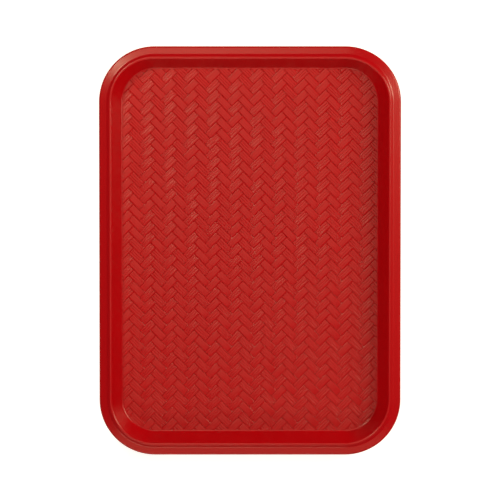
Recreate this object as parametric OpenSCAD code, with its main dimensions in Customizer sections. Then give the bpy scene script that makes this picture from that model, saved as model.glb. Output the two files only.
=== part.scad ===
// Fast food tray, moulded in one piece: woven-look floor, sloping wall and a rim to carry it by.
// Origin at the middle of the underside, +Z up, +Y along the length. Sizes are in millimetres.

/* [Tray] */
// Width over the rim
tray_w = 301.6; // [240:0.2:360]
// Length over the rim
tray_l = 409.6; // [340:0.2:480]
// Height of the crest of the rim above the table
tray_h = 24; // [20:0.5:30]
// Outer radius of the four corners
corner_r = 55.5; // [45:0.5:75]
// Thickness of the moulded skin
skin = 3; // [2.4:0.1:3.6]

/* [Wall and rim] */
// From the outer edge in to the point where the wall's slope would meet the floor
wall_in = 22; // [18:0.1:25]
// Fillet between wall and floor, on the food side
foot_r = 2; // [1:0.25:6]
// From the outer edge in to the middle of the crest
crest_in = 11.3; // [9.5:0.1:12.5]
// Width of the crest's top, before its corners are rounded
crest_w = 1.9; // [1.8:0.1:3]
// Rounding of the crest
crest_r = 1.6; // [0.8:0.1:1.6]
// Width of the steep bead on the outer side of the crest
bead_w = 2.6; // [1.8:0.1:3.4]
// Drop of that bead, from the crest to the outer slope
bead_drop = 2; // [1:0.1:3]
// Radius of the hollow between bead and outer slope
bead_r = 3; // [1:0.25:5]
// Drop of the outer slope, from the bead to the edge
slope_drop = 1.9; // [0.5:0.1:3]
// Rounding where the outer slope turns down into the edge
edge_r = 2.2; // [1:0.1:3]
// Height of the turned-down edge, before it is rounded
edge_h = 5.2; // [4:0.1:7]
// Rounding along the bottom of the edge
lip_r = 0.8; // [0.3:0.1:1.1]

/* [Weave] */
// Width of one strap of the weave. Each block is two straps long
strap_w = 7.78; // [7:0.02:12]
// Width of the groove round a block, at the floor's surface
groove_w = 1; // [0.6:0.1:1.6]
// Depth of the groove
groove_d = 0.4; // [0.2:0.05:0.8]
// Sideways shift of the pattern from the middle of the tray
weave_x = 7.1; // [-11:0.1:11]
// Lengthways shift of the pattern from the middle of the tray
weave_y = -1.3; // [-11:0.1:11]

/* [Underside] */
// Height that each further tray adds to a stack, set by the lugs under the rim
stack_pitch = 9.6; // [9.3:0.1:12]
// Thickness of one stacking lug
lug_t = 3; // [2:0.5:6]
// From the outer edge in to the outer end of a lug
lug_in = 6; // [5:0.25:8]
// From the start of a rounded corner to the middle of the nearest lug
lug_from_corner = 12; // [6:1:60]
// Width of the dished mark that the mould's gate leaves in the middle of the underside
gate_d = 14; // [8:1:24]
// Depth of the gate mark
gate_h = 0.6; // [0.4:0.1:1]
// Run of the gate mark's sloping side
gate_slope = 1; // [0.5:0.5:2]
// Diameter of the stub of plastic inside the mark
stub_d = 3; // [2:0.5:5]
// Room between the stub and the table
stub_gap = 0.2; // [0.1:0.1:0.3]

/* [Hidden] */
RED = "#b4201e";
// Largest turn between two neighbouring points of an arc, in degrees
ARC_STEP = 30;

// From the middle of the tray to the centres of its corners
centre_x = tray_w / 2 - corner_r;
centre_y = tray_l / 2 - corner_r;

// Corners of the food side's outline: distance in from the edge, height, radius
floor_end = [corner_r, skin, 0];
wall_foot = [wall_in, skin, foot_r];
crest_inner = [crest_in + crest_w / 2, tray_h, crest_r];
crest_outer = [crest_in - crest_w / 2, tray_h, crest_r];
bead_foot = [crest_outer.x - bead_w, tray_h - bead_drop, bead_r];
edge_top = [0, bead_foot.y - slope_drop, edge_r];
edge_foot = [0, edge_top.y - edge_h, lip_r];
food_side = [floor_end, wall_foot, crest_inner, crest_outer, bead_foot, edge_top, edge_foot];

// The flat floor ends where the fillet at the wall's foot begins
wall_angle = atan2(tray_h - skin, wall_in - crest_inner.x);
floor_in = wall_in + foot_r * tan(wall_angle / 2);

function flat(v) = [v.x, v.y];
function unit(v) = v / norm(v);
function turned_left(v) = [-v.y, v.x];
function cross_z(u, v) = u.x * v.y - u.y * v.x;

// Point where the lines a-b and c-d cross, once each has moved to its left by depth
function crossing(a, b, c, d, depth) =
    let (
        way_1 = unit(flat(b - a)),
        way_2 = unit(flat(d - c)),
        start_1 = flat(a) + depth * turned_left(way_1),
        start_2 = flat(c) + depth * turned_left(way_2)
    )
    start_1 + way_1 * cross_z(start_2 - start_1, way_2) / cross_z(way_1, way_2);

// Outline that runs at a depth below the food side, from the edge in to the floor
function below(depth) = [
    [edge_foot.x + depth, edge_foot.y, lip_r],
    [each crossing(bead_foot, edge_top, edge_top, edge_foot, depth), 0],
    [each crossing(crest_outer, bead_foot, bead_foot, edge_top, depth), bead_r + depth],
    [each crossing(wall_foot, crest_inner, crest_outer, bead_foot, depth), 0],
    [each crossing(floor_end, wall_foot, wall_foot, crest_inner, depth), foot_r + depth],
    [floor_end.x, floor_end.y - depth, 0]
];

// Points that round the corner b, between its neighbours a and c, by the radius b.z
function arc_at(a, b, c) =
    let (
        to_a = unit(flat(a - b)),
        to_c = unit(flat(c - b)),
        half = acos(to_a * to_c) / 2,
        centre = flat(b) + unit(to_a + to_c) * b.z / sin(half),
        spoke = flat(b) + to_a * b.z / tan(half) - centre,
        turn = sign(cross_z(to_c, to_a)) * (180 - 2 * half),
        steps = ceil(abs(turn) / ARC_STEP)
    )
    [for (i = [0:steps]) let (t = turn * i / steps) centre + spoke * cos(t) + turned_left(spoke) * sin(t)];

// Closed outline through corners, each rounded by its own radius
function rounded(corners) =
    let (n = len(corners))
    [for (i = [0:n - 1]) let (b = corners[i])
        each b.z == 0 ? [flat(b)] : arc_at(corners[(i + n - 1) % n], b, corners[(i + 1) % n])];

// Turns an outline measured inwards from the edge into one measured outwards from a corner's centre
function outwards(outline) = [for (point = outline) [corner_r - point.x, point.y]];

// Section of floor, wall and rim, as far in as a corner's centre
module section() {
    polygon(outwards(rounded(concat(food_side, below(skin)))));
}

// Section of a stacking lug, rooted half a skin deep in wall and rim
module lug_section() {
    intersection() {
        polygon(outwards([[0, 0], each below(skin / 2)]));
        translate([corner_r - wall_in, tray_h - stack_pitch]) square([wall_in - lug_in, stack_pitch]);
    }
}

// Stands a section up across the right-hand side and runs it along Y
module run_along(length) {
    rotate([90, 0, 0]) linear_extrude(length, center = true) children();
}

// One long side, one short side and two corners
module half_rim() {
    translate([centre_x, 0, 0]) run_along(2 * centre_y) section();
    translate([0, centre_y, 0]) rotate(90) run_along(2 * centre_x) section();
    for (side = [0, 1]) mirror([side, 0, 0])
        translate([centre_x, centre_y, 0]) rotate_extrude(angle = 90) section();
}

// Two stacking lugs on that long side and two on that short side, near their corners
module half_lugs() {
    for (side = [-1, 1]) {
        translate([centre_x, side * (centre_y - lug_from_corner), 0]) run_along(lug_t) lug_section();
        translate([side * (centre_x - lug_from_corner), centre_y, 0]) rotate(90) run_along(lug_t) lug_section();
    }
}

// The whole moulding with a plain floor
module shell() {
    for (turn = [0, 180]) rotate(turn) {
        half_rim();
        half_lugs();
    }
    translate([-centre_x, -centre_y, 0]) cube([2 * centre_x, 2 * centre_y, skin]);
}

// Dished mark of the mould's gate, with its stub left standing
module gate_mark() {
    difference() {
        cylinder(h = gate_h, r1 = gate_d / 2, r2 = gate_d / 2 - gate_slope);
        translate([0, 0, stub_gap]) cylinder(h = gate_h, d = stub_d);
    }
}

// How far the flat floor reaches from a point in a slanting direction, less half a groove
function floor_reach(point, way) =
    let (
        half_w = tray_w / 2 - floor_in - groove_w / 2,
        half_l = tray_l / 2 - floor_in - groove_w / 2,
        to_side = min((half_w - sign(way.x) * point.x) / abs(way.x), (half_l - sign(way.y) * point.y) / abs(way.y)),
        exit = point + to_side * way,
        from_centre = point - [sign(exit.x) * centre_x, sign(exit.y) * centre_y],
        nearest = from_centre * way,
        half_chord = (half_w - centre_x) ^ 2 - from_centre * from_centre + nearest ^ 2
    )
    abs(exit.x) < centre_x || abs(exit.y) < centre_y ? to_side :
    half_chord > 0 ? sqrt(half_chord) - nearest :
    -tray_l;

// Turns a vector from the pattern's own axes to the tray's, which lie at 45 degrees to them
function to_tray(v) = (v.x * [1, 1] + v.y * [-1, 1]) / sqrt(2);

// One groove, three straps long: a V whose tip lies groove_d deep, cut off where the floor ends
module groove(middle, way) {
    point = to_tray(middle) + [weave_x, weave_y];
    start = max(-1.5 * strap_w, -floor_reach(point, -to_tray(way)));
    end = min(1.5 * strap_w, floor_reach(point, to_tray(way)));
    if (end - start > groove_w)
        translate([each middle + start * way, 0]) rotate([90, 0, 90 + 90 * way.y])
            linear_extrude(end - start)
                polygon([[0, -groove_d], [groove_w, groove_d], [-groove_w, groove_d]]);
}

// The grooves of one direction. Each of them ends on the middle line of one of the other direction,
// and together they part the floor into blocks, two straps long, laid in a herringbone
module grooves(offset, way) {
    columns = ceil(tray_w / 2 / (2 * sqrt(2) * strap_w)) + 1;
    rows = ceil(tray_l / 2 / (sqrt(2) * strap_w)) + 1;
    translate([weave_x, weave_y, skin]) rotate(45)
        for (column = [-columns:columns], row = [-rows:rows])
            groove(strap_w * (offset + row * [1, 1] + column * [2, -2]), way);
}

module tray() {
    color(RED) difference() {
        shell();
        grooves([0.5, 0.5], [1, 0]);
        grooves([1, -1], [0, 1]);
        gate_mark();
    }
}

tray();
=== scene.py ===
# %% [markdown]
# A fast food tray is one shot of plastic: a thin skin with a woven-look floor, a sloping wall and a
# rim to carry it by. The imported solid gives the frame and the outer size, and stays untouched. This
# script models the same moulding again with finer roundings and with the strands of the weave,
# gives it a satin red plastic, and lights it as a studio would.

import math
import random

import bmesh
import bpy
from mathutils import Matrix, Vector, geometry, noise


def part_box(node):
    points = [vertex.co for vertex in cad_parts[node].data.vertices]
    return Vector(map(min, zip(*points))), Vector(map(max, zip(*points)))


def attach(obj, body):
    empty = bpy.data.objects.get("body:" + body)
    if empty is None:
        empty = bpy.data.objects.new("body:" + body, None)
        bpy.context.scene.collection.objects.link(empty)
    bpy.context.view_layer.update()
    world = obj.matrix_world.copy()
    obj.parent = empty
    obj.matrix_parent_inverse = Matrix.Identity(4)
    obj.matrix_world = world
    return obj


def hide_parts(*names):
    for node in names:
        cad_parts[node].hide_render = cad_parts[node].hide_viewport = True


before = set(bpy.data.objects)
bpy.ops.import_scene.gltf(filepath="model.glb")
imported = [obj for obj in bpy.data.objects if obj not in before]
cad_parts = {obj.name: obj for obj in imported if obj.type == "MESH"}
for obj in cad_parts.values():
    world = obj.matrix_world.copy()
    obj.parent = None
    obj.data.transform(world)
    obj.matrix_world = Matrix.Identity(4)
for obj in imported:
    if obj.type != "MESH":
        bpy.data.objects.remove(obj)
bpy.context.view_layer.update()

MM = 0.001
lowest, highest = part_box("tray")
HALF_W = (highest.x - lowest.x) / 2 / MM
HALF_L = (highest.y - lowest.y) / 2 / MM
TRAY_H = (highest.z - lowest.z) / MM
print(f"solid: {2 * HALF_W:.1f} x {2 * HALF_L:.1f} x {TRAY_H:.1f} mm")

# %% [markdown]
# The camera comes before any shape, because each later choice is judged through it. The photograph
# looks almost straight down on the tray, with its long side upright. The wall at the top shows less
# than the one at the bottom, so the camera stands a little towards the back end. It is nearly five
# metres up, which is why the rim keeps the same width all round.

# %% Camera
CAMERA_AWAY = 4.836
CAMERA_TILT = math.radians(4.2)
AIMED_AT = Vector((0, -0.0003, 0))
SEEN_WIDTH = 0.5021
SENSOR = 36
FURTHEST_SEEN = 40

camera_data = bpy.data.cameras.new("photo_camera")
camera = bpy.data.objects.new("photo_camera", camera_data)
bpy.context.scene.collection.objects.link(camera)
bpy.context.scene.camera = camera
camera.location = AIMED_AT + CAMERA_AWAY * Vector((0, math.sin(CAMERA_TILT), math.cos(CAMERA_TILT)))
camera.rotation_euler = (-CAMERA_TILT, 0, 0)
camera_data.sensor_width = SENSOR
camera_data.lens = SENSOR * CAMERA_AWAY / SEEN_WIDTH
camera_data.clip_end = FURTHEST_SEEN
camera_data.dof.use_dof = False
print(f"camera: lens {camera_data.lens:.0f} mm")

# %% [markdown]
# The tray is one section drawn round a rounded rectangle. The section is a chain of straight lines,
# and each corner carries the radius of its rounding. Distances run inwards from the outer edge,
# heights run up from the table, both in millimetres. From the floor outwards it climbs the wall,
# passes over the narrow crest, drops down a steep little bead, slopes gently to the edge and turns
# down.

# %% Corners of the section, food side
CORNER_R = 55.5
SKIN = 3
WALL_IN = 22
FOOT_R = 2
CREST_IN = 11.3
CREST_W = 1.9
CREST_R = 1.6
BEAD_W = 2.6
BEAD_DROP = 2
BEAD_R = 3
SLOPE_DROP = 1.9
EDGE_R = 2.2
EDGE_H = 5.2
LIP_R = 0.8
GROOVE_W = 0.85
GROOVE_D = 0.4


def spot(distance_in, height):
    return Vector((HALF_W - distance_in, 0, height))


wall_foot = spot(WALL_IN, SKIN)
crest_inner = spot(CREST_IN + CREST_W / 2, TRAY_H)
crest_outer = spot(CREST_IN - CREST_W / 2, TRAY_H)
bead_foot = spot(CREST_IN - CREST_W / 2 - BEAD_W, TRAY_H - BEAD_DROP)
edge_top = spot(0, bead_foot.z - SLOPE_DROP)
edge_foot = spot(0, edge_top.z - EDGE_H)

wall_angle = math.atan2(crest_inner.z - wall_foot.z, crest_inner.x - wall_foot.x)
floor_in = WALL_IN + FOOT_R * math.tan(wall_angle / 2)
floor_end = spot(floor_in, SKIN)
food_side = [(spot(floor_in, SKIN - GROOVE_D), 0), (floor_end, 0), (wall_foot, FOOT_R),
             (crest_inner, CREST_R), (crest_outer, CREST_R), (bead_foot, BEAD_R),
             (edge_top, EDGE_R), (edge_foot, LIP_R)]
print(f"wall at {math.degrees(wall_angle):.1f} degrees, flat floor ends {floor_in:.1f} mm in")

# %% [markdown]
# Injection moulds keep the skin equally thick, or the plastic sinks and warps as it cools. So the
# underside is the food side moved down by the skin. The crest is too narrow for that: its two
# flanks meet below it in one ridge. Each corner of the underside is therefore where two moved lines
# cross.

# %% Corners of the section, underside


def crossing(start_1, end_1, start_2, end_2, depth):
    """Where two lines of the food side cross, once both have moved below it by depth."""
    moved = []
    for start, end in ((start_1, end_1), (start_2, end_2)):
        way = (end - start).normalized()
        down = Vector((way.z, 0, -way.x)) * depth
        moved += [start + down, end + down]
    return geometry.intersect_line_line(*moved)[0]


def below(depth):
    """Corners of a line that runs at a depth below the food side, from the edge in to the floor."""
    return [(edge_foot - Vector((depth, 0, 0)), LIP_R),
            (crossing(bead_foot, edge_top, edge_top, edge_foot, depth), 0),
            (crossing(crest_outer, bead_foot, bead_foot, edge_top, depth), BEAD_R + depth),
            (crossing(wall_foot, crest_inner, crest_outer, bead_foot, depth), 0),
            (crossing(floor_end, wall_foot, wall_foot, crest_inner, depth), FOOT_R + depth),
            (spot(floor_in, SKIN - depth), 0)]


section = food_side + below(SKIN)
print(f"section: {len(section)} corners")

# %% [markdown]
# A vertex bevel turns a corner of a wire into an arc. The bevel asks for the length of the tangent,
# so the radius is turned into that first. Small segments matter here: the crest and the edge are
# what catches the light, and a coarse arc would show as bands.

# %% Draw the section as a wire
ARC_STEP = math.radians(9)
SAME_PLACE = 0.001


def draw_wire(bm, corners):
    """A chain of edges through the corners, each rounded by its own radius."""
    points = [bm.verts.new(place) for place, radius in corners]
    for one, other in zip(points, points[1:]):
        bm.edges.new((one, other))
    for place, radius in corners:
        if radius == 0:
            continue
        corner = min(bm.verts, key=lambda vertex: (vertex.co - place).length)
        arms = [edge.other_vert(corner).co - place for edge in corner.link_edges]
        turn = math.pi - arms[0].angle(arms[1])
        bmesh.ops.bevel(bm, geom=[corner], affect="VERTICES", offset_type="OFFSET", profile=0.5,
                        offset=radius * math.tan(turn / 2), segments=math.ceil(turn / ARC_STEP),
                        material=-1)
    bmesh.ops.remove_doubles(bm, verts=bm.verts, dist=SAME_PLACE)


tray_mesh = bmesh.new()
draw_wire(tray_mesh, section)
print(f"rounded section: {len(tray_mesh.verts)} points")

# %% [markdown]
# The section runs half a long side, turns 90 degrees round the centre of a corner and runs half a
# short side. That quarter is mirrored twice. Two open rings are left, the rim of the floor above
# and below, and each is closed with one flat face. The face on the food side lies as deep as the
# grooves of the weave, because the woven blocks will stand on it.

# %% Sweep the section round the tray
CORNER_STEPS = 24
centre_x = HALF_W - CORNER_R
centre_y = HALF_L - CORNER_R


def only(kind, parts):
    """The parts of one kind, such as bmesh.types.BMVert, out of a mixed list."""
    return [part for part in parts if isinstance(part, kind)]


def run(bm, wire, way):
    """Extrudes a wire along a straight side and gives the wire at its far end."""
    grown = bmesh.ops.extrude_edge_only(bm, edges=only(bmesh.types.BMEdge, wire))["geom"]
    points = only(bmesh.types.BMVert, grown)
    bmesh.ops.translate(bm, vec=way, verts=points)
    return points + only(bmesh.types.BMEdge, grown)


far_end = run(tray_mesh, tray_mesh.edges[:], (0, centre_y, 0))
far_end = bmesh.ops.spin(tray_mesh, geom=far_end, cent=(centre_x, centre_y, 0), axis=(0, 0, 1),
                         angle=math.pi / 2, steps=CORNER_STEPS)["geom_last"]
run(tray_mesh, far_end, (-centre_x, 0, 0))
for axis in ("X", "Y"):
    everything = tray_mesh.verts[:] + tray_mesh.edges[:] + tray_mesh.faces[:]
    bmesh.ops.mirror(tray_mesh, geom=everything, axis=axis, merge_dist=SAME_PLACE)
bmesh.ops.remove_doubles(tray_mesh, verts=tray_mesh.verts, dist=SAME_PLACE)
bmesh.ops.holes_fill(tray_mesh, edges=tray_mesh.edges, sides=0)
open_edges = sum(not edge.is_manifold for edge in tray_mesh.edges)
print(f"shell: {len(tray_mesh.faces)} faces, open edges {open_edges}")

# %% [markdown]
# Mesh code up to here is in millimetres. An object for the scene has its place in its mesh, in
# metres, with its faces turned outwards. One helper does that for each finished bmesh. A second one
# joins or cuts two closed meshes. The manifold solver is the one to take, because it is quick on a
# mesh with hundreds of separate blocks and keeps the result closed.

# %% Helpers that finish and combine meshes


def finish_mesh(bm, name):
    """An object in metres from a bmesh in millimetres, its faces turned outwards."""
    bmesh.ops.recalc_face_normals(bm, faces=bm.faces)
    bmesh.ops.scale(bm, vec=(MM, MM, MM), verts=bm.verts)
    mesh = bpy.data.meshes.new(name)
    bm.to_mesh(mesh)
    bm.free()
    made = bpy.data.objects.new(name, mesh)
    bpy.context.scene.collection.objects.link(made)
    return made


def combine(target, tool, operation):
    """Joins tool to target, cuts it away or keeps what both share, and uses the tool up."""
    step = target.modifiers.new(operation, "BOOLEAN")
    step.operation = operation
    step.solver = "MANIFOLD"
    step.object = tool
    graph = bpy.context.evaluated_depsgraph_get()
    result = bpy.data.meshes.new_from_object(target.evaluated_get(graph))
    target.modifiers.remove(step)
    target.data = result
    bpy.data.objects.remove(tool)


tray = finish_mesh(tray_mesh, "moulded_tray")
print(f"tray shell is {tray.dimensions.x:.4f} m wide")

# %% [markdown]
# The floor copies a basket plaited from flat straps, two over and two under. What shows of each
# strap is a block twice as long as it is wide: flat strands side by side with a narrow valley
# between each two. The valleys are deepest at the ends of a block, where the strap would dive under
# the ones that cross it. Real strands are about 1.5 mm wide, five to a strap. That is too fine for
# a picture of this size to show, so a strap has three here, as coarse as it takes. A block starts
# as a grid one unit long and wide. Three of its lines make each valley: two stay level, the one
# between them sinks. The rim of the grid is extruded down to make the sides of the groove.

# %% One block of the weave
STRAP_W = 7.78
BLOCK_L = 2 * STRAP_W - GROOVE_W
BLOCK_W = STRAP_W - GROOVE_W
STRANDS = 3
TOP_RISE = 0.08
VALLEY_W = 0.9
VALLEY_LINES = 3
HALF_SIDE = 0.5
VALLEY_MIDDLE = 0.12
VALLEY_END = 0.26
VALLEY_FACTORS = (0.5, 1, 1.4)
FOOT_GAP = 0.03
ROOT = 0.15


def stranded_grid(depth):
    """A grid one unit long and wide, level but for its valleys, which are deeper by a factor."""
    bm = bmesh.new()
    lines = VALLEY_LINES * (STRANDS - 1) + 1
    bmesh.ops.create_grid(bm, x_segments=2, y_segments=lines, size=HALF_SIDE)
    for point in bm.verts:
        line = round((point.co.y + HALF_SIDE) * lines)
        if 0 < line < lines:
            valley, side = divmod(line - 1, VALLEY_LINES)
            shift = (side - 1) * VALLEY_W / 2 / BLOCK_W
            point.co.y = (valley + 1) / STRANDS - HALF_SIDE + shift
            at_end = abs(point.co.x) > SAME_PLACE
            if side == 1:
                point.co.z = -depth * (VALLEY_END if at_end else VALLEY_MIDDLE)
    return bm


def weave_block(depth):
    """One block, its length along X, the floor's surface at height 0."""
    bm = stranded_grid(depth)
    bmesh.ops.scale(bm, verts=bm.verts, vec=(BLOCK_L, BLOCK_W, 1))
    bmesh.ops.translate(bm, verts=bm.verts, vec=(0, 0, TOP_RISE))
    rim = [edge for edge in bm.edges if edge.is_boundary]
    grown = bmesh.ops.extrude_edge_only(bm, edges=rim)["geom"]
    foot = only(bmesh.types.BMVert, grown)
    for point in foot:
        point.co.z = -GROOVE_D - ROOT
    foot_l = 2 * (STRAP_W - FOOT_GAP)
    foot_w = STRAP_W - 2 * FOOT_GAP
    bmesh.ops.scale(bm, verts=foot, vec=(foot_l / BLOCK_L, foot_w / BLOCK_W, 1))
    bmesh.ops.holes_fill(bm, edges=bm.edges, sides=0)
    bmesh.ops.recalc_face_normals(bm, faces=bm.faces)
    mesh = bpy.data.meshes.new("weave_block")
    bm.to_mesh(mesh)
    bm.free()
    return mesh


blocks = [weave_block(factor) for factor in VALLEY_FACTORS]
print(f"one block: {len(blocks[0].polygons)} faces")

# %% [markdown]
# The blocks lie in a herringbone at 45 degrees to the sides, so the straps seem to run in zigzags.
# In axes turned by 45 degrees, both kinds of block sit on one lattice: each step of a column moves
# two straps sideways, each step of a row moves one strap along both axes. A pair of crossing
# blocks, each with its shift in straps and its turn in degrees, stands at every point of the
# lattice.

# %% Places of the blocks
WEAVE_X = 7.1
WEAVE_Y = -1.3
PAIR = (((0, 0), 45), ((1.5, -0.5), 135))


def block_places():
    """Middle and turn of each block that may touch the floor."""
    half_floor = Vector((HALF_W - floor_in, HALF_L - floor_in))
    columns = math.ceil(half_floor.x / (2 * math.sqrt(2) * STRAP_W)) + 1
    rows = math.ceil(half_floor.y / (math.sqrt(2) * STRAP_W)) + 2
    turned = Matrix.Rotation(math.radians(45), 2)
    for column in range(-columns, columns + 1):
        for row in range(-rows, rows + 1):
            lattice = STRAP_W * Vector((row + 2 * column, row - 2 * column))
            for shift, turn in PAIR:
                middle = turned @ (lattice + STRAP_W * Vector(shift)) + Vector((WEAVE_X, WEAVE_Y))
                if abs(middle.x) < half_floor.x + STRAP_W and abs(middle.y) < half_floor.y + STRAP_W:
                    yield middle, turn


print(f"places for {len(list(block_places()))} blocks")

# %% [markdown]
# Hand-cut moulds are never quite regular. So each block is tilted by a fraction of a degree, stands
# a little higher or flatter and has valleys of one of three depths, and the whole lattice drifts by
# a slow noise. All chance comes from one seed, so every run gives the same tray.

# %% Lay the blocks over the floor
TILT = math.radians(0.35)
DEPTH_CHANGE = 0.05
DRIFT = 0.5
DRIFT_SIZE = 70
SEED = 11

chance = random.Random(SEED)
noise.seed_set(SEED)


def varied(turn):
    """The turn of a block, with a small tilt both ways and a small change of depth."""
    roll = Matrix.Rotation(chance.uniform(-TILT, TILT), 4, "X")
    pitch = Matrix.Rotation(chance.uniform(-TILT, TILT), 4, "Y")
    tilt = roll @ pitch
    depth = Matrix.Diagonal((1, 1, 1 + chance.uniform(-DEPTH_CHANGE, DEPTH_CHANGE), 1))
    return Matrix.Rotation(math.radians(turn), 4, "Z") @ tilt @ depth


weave_mesh = bmesh.new()
count = 0
for middle, turn in block_places():
    one = chance.choice(blocks).copy()
    one.transform(Matrix.Translation((middle.x, middle.y, SKIN)) @ varied(turn))
    weave_mesh.from_mesh(one)
    bpy.data.meshes.remove(one)
    count += 1
for point in weave_mesh.verts:
    push = noise.noise_vector(Vector((point.co.x, point.co.y, 0)) / DRIFT_SIZE) * DRIFT
    point.co += Vector((push.x, push.y, 0))
weave = finish_mesh(weave_mesh, "weave")
print(f"weave: {count} blocks, {len(weave.data.polygons)} faces")

# %% [markdown]
# The weave stops where the fillet at the foot of the wall begins. A rounded plate of that outline,
# a hair larger so that the blocks root in the fillet, trims the blocks. Then they are joined to the
# shell.

# %% Trim the weave and join it to the shell
BITE = 0.15
PLATE_FROM = 1


def floor_plate():
    """A plate of the flat floor's outline, a little larger, from inside the skin to above the rim."""
    bm = bmesh.new()
    bmesh.ops.create_grid(bm, x_segments=1, y_segments=1, size=1)
    half_x = HALF_W - floor_in + BITE
    half_y = HALF_L - floor_in + BITE
    bmesh.ops.scale(bm, verts=bm.verts, vec=(half_x, half_y, 1))
    bmesh.ops.bevel(bm, geom=bm.verts[:], affect="VERTICES", offset_type="OFFSET", profile=0.5,
                    offset=CORNER_R - floor_in + BITE, segments=CORNER_STEPS, material=-1)
    bmesh.ops.translate(bm, verts=bm.verts, vec=(0, 0, PLATE_FROM))
    grown = bmesh.ops.extrude_face_region(bm, geom=bm.faces[:])["geom"]
    bmesh.ops.translate(bm, verts=only(bmesh.types.BMVert, grown), vec=(0, 0, TRAY_H))
    return finish_mesh(bm, "floor_plate")


combine(weave, floor_plate(), "INTERSECT")
combine(tray, weave, "UNION")
print(f"tray with weave: {len(tray.data.polygons)} faces")

# %% [markdown]
# Under the rim stand eight small lugs. They rest on the rim of the tray below, so that a pile of
# trays doesn't jam. The photograph doesn't show them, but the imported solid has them, and a piece
# that stands for a solid keeps its form. The outline of a lug follows the middle of the skin, so it
# roots in it, and is extruded to the lug's thickness.

# %% Stacking lugs
STACK_PITCH = 9.6
LUG_T = 3
LUG_IN = 6
LUG_FROM_CORNER = 12


def lug_outline():
    """Corners of a lug's section: half a skin deep in slope and wall, open below."""
    inside = [place for place, radius in below(SKIN / 2)]
    slope = (inside[1], inside[2])
    wall = (inside[3], inside[4])
    foot_z = TRAY_H - STACK_PITCH
    outer = spot(LUG_IN, foot_z)
    upright = (outer, outer + Vector((0, 0, 1)))
    level = (outer, outer + Vector((1, 0, 0)))
    return [outer, geometry.intersect_line_line(*level, *wall)[0], inside[3], inside[2],
            geometry.intersect_line_line(*upright, *slope)[0]]


def lugs():
    """All eight, two on each side of the tray."""
    bm = bmesh.new()
    for across, turn, reach in ((centre_x, 0, centre_y), (centre_y, 90, centre_x)):
        for side in (-1, 1):
            for end in (-1, 1):
                points = [bm.verts.new(place) for place in lug_outline()]
                face = bmesh.ops.contextual_create(bm, geom=points)["faces"]
                grown = bmesh.ops.extrude_face_region(bm, geom=face)["geom"]
                far = only(bmesh.types.BMVert, grown)
                bmesh.ops.translate(bm, verts=far, vec=(0, LUG_T, 0))
                whole = points + far
                along = end * (reach - LUG_FROM_CORNER) - LUG_T / 2
                bmesh.ops.translate(bm, verts=whole, vec=(across - centre_x, along, 0))
                spin_to = Matrix.Rotation(math.radians(turn + (180 if side < 0 else 0)), 3, "Z")
                bmesh.ops.rotate(bm, verts=whole, cent=(0, 0, 0), matrix=spin_to)
    return finish_mesh(bm, "lugs")


combine(tray, lugs(), "UNION")
print(f"tray with lugs: {len(tray.data.polygons)} faces")

# %% [markdown]
# In the middle of the underside is the shallow dish round the mould's gate, with the stub of
# plastic that was snapped off there. The solid has this mark too. Dish and stub are both round, so
# one section spun round the middle gives a cutter that leaves the stub standing.

# %% Gate mark
GATE_D = 14
GATE_H = 0.6
GATE_SLOPE = 1
STUB_D = 3
STUB_GAP = 0.2
GATE_STEPS = 48


def gate_cutter():
    """The dish round the gate as a solid of revolution that leaves the stub standing."""
    bm = bmesh.new()
    corners = [(0, STUB_GAP), (STUB_D / 2, STUB_GAP), (STUB_D / 2, GATE_H),
               (GATE_D / 2 - GATE_SLOPE, GATE_H), (GATE_D / 2, 0), (GATE_D / 2, -GATE_H),
               (0, -GATE_H)]
    points = [bm.verts.new((radius, 0, height)) for radius, height in corners]
    for one, other in zip(points, points[1:]):
        bm.edges.new((one, other))
    bmesh.ops.spin(bm, geom=bm.verts[:] + bm.edges[:], cent=(0, 0, 0), axis=(0, 0, 1),
                   angle=2 * math.pi, steps=GATE_STEPS, use_merge=True)
    bmesh.ops.remove_doubles(bm, verts=bm.verts, dist=SAME_PLACE)
    return finish_mesh(bm, "gate_cutter")


combine(tray, gate_cutter(), "DIFFERENCE")
print(f"finished tray: {len(tray.data.polygons)} faces")

# %% [markdown]
# Shading decides whether a hundred thousand small triangles read as soft plastic. All faces are
# smooth. On the floor, each valley between two strands and each foot of a groove is a hollow edge,
# and it is made sharp, so that the light breaks there. Elsewhere only true corners are sharp. Then
# the normals are weighted by the size of the faces, so that flat strands and flat floor stay flat
# up to their edges and the light turns only on the narrow faces between them.

# %% Smooth faces and sharp valleys
VALLEY = math.radians(4)
TRUE_CORNER = math.radians(32)
FLOOR_BAND = 0.35
FLATS_WEIGHT = 90


def mark_edges(mesh):
    """Smooths all faces and marks which edges break the light."""
    bm = bmesh.new()
    bm.from_mesh(mesh)
    bmesh.ops.remove_doubles(bm, verts=bm.verts, dist=2 * SAME_PLACE * MM)
    sharp = 0
    for face in bm.faces:
        face.smooth = True
    for edge in bm.edges:
        middle = (edge.verts[0].co + edge.verts[1].co) / 2 / MM
        on_floor = abs(middle.z - SKIN) < GROOVE_D + FLOOR_BAND
        inside = abs(middle.x) < HALF_W - floor_in + BITE and abs(middle.y) < HALF_L - floor_in + BITE
        if not edge.is_manifold:
            continue
        bend = edge.calc_face_angle_signed()
        hollow = on_floor and inside and bend < -VALLEY
        if hollow or (abs(bend) > TRUE_CORNER and not (on_floor and inside)):
            edge.smooth = False
            sharp += 1
    loose = sum(not edge.is_manifold for edge in bm.edges)
    bm.to_mesh(mesh)
    print(f"sharp edges {sharp}, open edges {loose}, volume {bm.calc_volume() / MM ** 3:.0f} mm3")
    bm.free()


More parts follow.
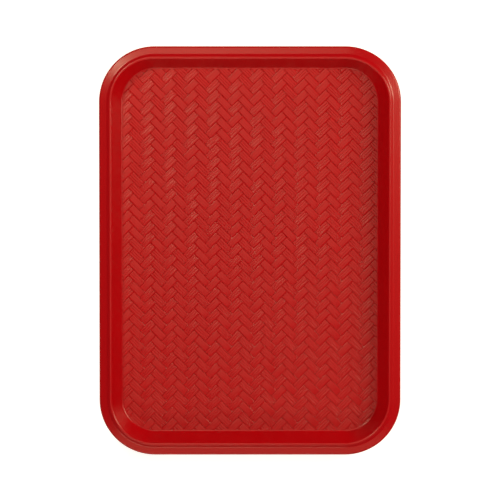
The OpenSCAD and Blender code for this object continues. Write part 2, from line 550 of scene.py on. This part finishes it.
mark_edges(tray.data)
weigh = tray.modifiers.new("flats_first", "WEIGHTED_NORMAL")
weigh.weight = FLATS_WEIGHT
weigh.keep_sharp = True
graph = bpy.context.evaluated_depsgraph_get()
weighed = bpy.data.meshes.new_from_object(tray.evaluated_get(graph))
tray.modifiers.remove(weigh)
tray.data = weighed
tray.data.calc_loop_triangles()
print(f"{len(tray.data.loop_triangles)} triangles")

# %% [markdown]
# The plastic is injection-moulded polypropylene with a strong red pigment. Pigment flows with the
# melt and leaves a very faint cloudiness, so there are two close reds. A third, deeper one is painted
# shade for the grooves and the valleys between the strands, where light bounces between their sides
# and meets the pigment more than once.

# %% Node helper and colours


def linear(hex_colour):
    """Linear colour of an sRGB hex value, by the sRGB curve."""
    parts = [int(hex_colour[place:place + 2], 16) / 255 for place in (1, 3, 5)]
    flat = [part / 12.92 if part <= 0.04045 else ((part + 0.055) / 1.055) ** 2.4 for part in parts]
    return flat + [1]


def add_node(tree, kind, links=None, **settings):
    """A node with its settings by name and its sockets by label or place, linked or set."""
    node = tree.nodes.new(kind)
    for name, value in settings.items():
        setattr(node, name, value)
    for label, value in (links or {}).items():
        socket = node.inputs[label]
        if isinstance(value, bpy.types.NodeSocket):
            tree.links.new(value, socket)
        else:
            socket.default_value = value
    return node


def new_material(name):
    material = bpy.data.materials.new(name)
    material.use_nodes = True
    material.node_tree.nodes.clear()
    return material, material.node_tree


RED = linear("#cb0210")
CLOUDY_RED = linear("#c4020f")
# The third red is painted shade for the grooves and the valleys between the strands.
PAINTED_SHADE_RED = linear("#ba0009")
print("red in linear light:", [round(part, 3) for part in RED[:3]])

# %% [markdown]
# Colour and gloss both follow the height in the mesh, because that is what makes a valley or a
# groove: there the colour deepens as painted shade, and in the grooves the gloss turns dull. A
# pattern in an image would have to be laid exactly over each of the blocks. The underside lies lower
# still, and there both are those of the smooth plastic again. Only where the back of the wall passes
# the height of the grooves does a thin line remain that is dull and carries the painted shade.

# %% Colour by height, with painted shade
CLOUD_MM = 45
CLOUD_DETAIL = 3.0
# Heights over which the painted shade grows from none to full.
PAINTED_SHADE_FROM = SKIN + 0.02
PAINTED_SHADE_FULL = SKIN - 0.16


def pigment_with_painted_shade(tree, place, height, above):
    """The red, faintly cloudy, with painted shade deepening it in valleys and grooves where above is
    1.
    """
    clouds = add_node(tree, "ShaderNodeTexNoise",
                      {"Vector": place, "Scale": 1 / (CLOUD_MM * MM), "Detail": CLOUD_DETAIL})
    tint = add_node(tree, "ShaderNodeMix",
                    {"Factor": clouds.outputs["Fac"], "A": RED, "B": CLOUDY_RED}, data_type="RGBA")
    # Painted shade: the deeper red is mixed in low in the valleys and grooves.
    painted_shade_mask = add_node(tree, "ShaderNodeMapRange",
                    {"Value": height, "From Min": PAINTED_SHADE_FULL * MM, "From Max": PAINTED_SHADE_FROM * MM,
                     "To Min": above, "To Max": 0.0})
    colour = add_node(tree, "ShaderNodeMix",
                      {"Factor": painted_shade_mask.outputs["Result"], "A": tint.outputs["Result"], "B": PAINTED_SHADE_RED},
                      data_type="RGBA")
    return colour.outputs["Result"]


print(f"the red is deepest from {SKIN - PAINTED_SHADE_FULL:.2f} mm below the floor's surface")

# %% [markdown]
# The surface copies the steel of the mould, polished to a satin gloss. The polisher doesn't reach
# the bottoms of the grooves, so those are dull. The valleys between the strands keep the gloss but
# for the ends of the deepest ones, and glint.

# %% Gloss by height
SATIN_ROUGHNESS = 0.26
GROOVE_ROUGHNESS = 0.9
GROOVE_FROM = SKIN - 0.2
GROOVE_FULL = SKIN - 0.35


def polish(tree, height, above):
    """The roughness, satin on top and dull in the grooves where above is 1."""
    dull = add_node(tree, "ShaderNodeMapRange",
                    {"Value": above, "To Min": SATIN_ROUGHNESS, "To Max": GROOVE_ROUGHNESS})
    rough = add_node(tree, "ShaderNodeMapRange",
                     {"Value": height, "From Min": GROOVE_FULL * MM, "From Max": GROOVE_FROM * MM,
                      "To Min": dull.outputs["Result"], "To Max": SATIN_ROUGHNESS})
    return rough.outputs["Result"]


print(f"roughness {SATIN_ROUGHNESS} on top, {GROOVE_ROUGHNESS} in the grooves")

# %% [markdown]
# The mould's texture is about a third of a millimetre wide. From the photograph's distance that is
# too fine to show as a pattern, and needn't: there it only softens the gloss.

# %% Red polypropylene, moulded
TEXTURE_MM = 0.35
TEXTURE_DETAIL = 2.0
TEXTURE_DEPTH = 0.02
TEXTURE_STRENGTH = 0.25
PLASTIC_IOR = 1.49
UNDERSIDE_TO = SKIN - 2 * GROOVE_D
FOOD_SIDE_FROM = SKIN - 1.5 * GROOVE_D


def moulded_polypropylene():
    material, tree = new_material("moulded_red_polypropylene")
    place = add_node(tree, "ShaderNodeTexCoord").outputs["Object"]
    height = add_node(tree, "ShaderNodeSeparateXYZ", {"Vector": place}).outputs["Z"]
    reach = add_node(tree, "ShaderNodeMapRange",
                     {"Value": height, "From Min": UNDERSIDE_TO * MM,
                      "From Max": FOOD_SIDE_FROM * MM})
    above = reach.outputs["Result"]
    grain = add_node(tree, "ShaderNodeTexNoise",
                     {"Vector": place, "Scale": 1 / (TEXTURE_MM * MM), "Detail": TEXTURE_DETAIL})
    bump = add_node(tree, "ShaderNodeBump",
                    {"Height": grain.outputs["Fac"], "Strength": TEXTURE_STRENGTH,
                     "Distance": TEXTURE_DEPTH * MM})
    shader = add_node(tree, "ShaderNodeBsdfPrincipled",
                      {"Base Color": pigment_with_painted_shade(tree, place, height, above),
                       "Roughness": polish(tree, height, above),
                       "IOR": PLASTIC_IOR, "Normal": bump.outputs["Normal"]})
    add_node(tree, "ShaderNodeOutputMaterial", {"Surface": shader.outputs["BSDF"]})
    return material


plastic = moulded_polypropylene()
tray.data.materials.clear()
tray.data.materials.append(plastic)
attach(tray, "root")
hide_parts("tray")
print("the tray wears", plastic.name)

# %% [markdown]
# The photograph's ground is pure white. A white floor under the tray gives that and keeps the soft
# shadow at the tray's foot. Camera rays get most of their white from the floor itself, so the lamps
# needn't be turned up. From underneath the floor lets the eye through, and the light of a lamp
# below it, so the underside can be looked at too. It lies a hair below the tray, so that no two
# faces share one plane.

# %% White floor
FLOOR_SIZE = 12
FLOOR_DROP = 0.05
FLOOR_WHITE = linear("#f4f4f4")
PURE_WHITE = linear("#ffffff")
FLOOR_GLOW = 0.8


def white_floor():
    material, tree = new_material("white_floor")
    path = add_node(tree, "ShaderNodeLightPath")
    side = add_node(tree, "ShaderNodeNewGeometry")
    matte = add_node(tree, "ShaderNodeBsdfDiffuse", {"Color": FLOOR_WHITE}).outputs[0]
    glow = add_node(tree, "ShaderNodeEmission",
                    {"Color": PURE_WHITE, "Strength": FLOOR_GLOW}).outputs[0]
    lit = add_node(tree, "ShaderNodeAddShader", {0: matte, 1: glow}).outputs[0]
    seen = add_node(tree, "ShaderNodeMixShader", {0: path.outputs["Is Camera Ray"], 1: matte, 2: lit})
    clear = add_node(tree, "ShaderNodeBsdfTransparent").outputs[0]
    through = add_node(tree, "ShaderNodeMath",
                       {0: side.outputs["Backfacing"], 1: path.outputs["Is Shadow Ray"]},
                       operation="MAXIMUM")
    both = add_node(tree, "ShaderNodeMixShader",
                    {0: through.outputs[0], 1: seen.outputs[0], 2: clear})
    add_node(tree, "ShaderNodeOutputMaterial", {"Surface": both.outputs[0]})
    return material


floor_mesh = bmesh.new()
bmesh.ops.create_grid(floor_mesh, x_segments=1, y_segments=1, size=FLOOR_SIZE / 2 / MM)
bmesh.ops.translate(floor_mesh, verts=floor_mesh.verts, vec=(0, 0, -FLOOR_DROP))
floor = finish_mesh(floor_mesh, "floor")
floor.data.materials.append(white_floor())
print(f"floor {FLOOR_SIZE} m wide")

# %% [markdown]
# Beyond the floor the camera sees the world, and that has to be just as white. It mustn't light the
# tray as a white room would, or the lamps' shades and highlights would drown. So it is full white
# for camera rays only, and gives all others a faint glow.

# %% Surroundings
ROOM_LIGHT = 0.04

world = bpy.data.worlds.new("studio")
bpy.context.scene.world = world
world.use_nodes = True
world.node_tree.nodes.clear()
ray = add_node(world.node_tree, "ShaderNodeLightPath")
level = add_node(world.node_tree, "ShaderNodeMapRange",
                 {"Value": ray.outputs["Is Camera Ray"], "To Min": ROOM_LIGHT, "To Max": 1.0})
sky = add_node(world.node_tree, "ShaderNodeBackground",
               {"Color": PURE_WHITE, "Strength": level.outputs[0]})
add_node(world.node_tree, "ShaderNodeOutputWorld", {"Surface": sky.outputs[0]})
print(f"room light {ROOM_LIGHT}")

# %% [markdown]
# Shades and highlights say where the lamps stood. A broad panel almost overhead, a little to the
# back, is mirrored by the flat strands: that pales the floor, most of all near the top, and lets
# the grooves show. The softbox on the right lights the left wall. One in front and low lights the
# top wall, and a panel higher up there pales the rim at the bottom. One at the back left pales the
# rim at the top. A small bare lamp beside it glints on the valleys of the blocks that lie across
# its light, most of all in the corner near it. One more, below the floor, only serves pictures of
# the underside. All shine a warm white. Each is given by two angles: how far round from the tray's
# back, clockwise from above, and how far down from straight overhead.

# %% Lamps
LAMP_COLOUR = linear("#fff3cc")[:3]
LAMPS = {
    "overhead_panel": dict(round=340, down=11, away=1.5, wide=0.8, high=1.2, watts=2.9),
    "right_softbox": dict(round=72, down=55, away=1.5, wide=0.4, high=0.8, watts=12.0),
    "front_softbox": dict(round=198, down=60, away=1.5, wide=1.2, high=0.4, watts=4.4),
    "front_panel": dict(round=180, down=35, away=1.5, wide=1.4, high=0.4, watts=1.4),
    "back_left_softbox": dict(round=335, down=36, away=1.5, wide=0.9, high=0.6, watts=2.2),
    "small_lamp": dict(round=315, down=47, away=0.9, wide=0.12, high=0.12, watts=1.5),
    "lamp_below": dict(round=135, down=155, away=1.5, wide=1.0, high=1.0, watts=9.0),
}

for name, lamp in LAMPS.items():
    light = bpy.data.lights.new(name, "AREA")
    light.shape = "RECTANGLE"
    light.size = lamp["wide"]
    light.size_y = lamp["high"]
    light.energy = lamp["watts"]
    light.color = LAMP_COLOUR
    holder = bpy.data.objects.new(name, light)
    around = math.radians(lamp["round"])
    down = math.radians(lamp["down"])
    aside = math.sin(down)
    way = Vector((aside * math.sin(around), aside * math.cos(around), math.cos(down)))
    holder.location = lamp["away"] * way
    holder.rotation_euler = (-way).to_track_quat("-Z", "Y").to_euler()
    holder.visible_camera = False
    bpy.context.scene.collection.objects.link(holder)
print("lamps:", ", ".join(LAMPS))

# %% [markdown]
# The view transform is plain, so a colour renders about as it is written.

# %% Finish
bpy.context.scene.view_settings.view_transform = "Standard"
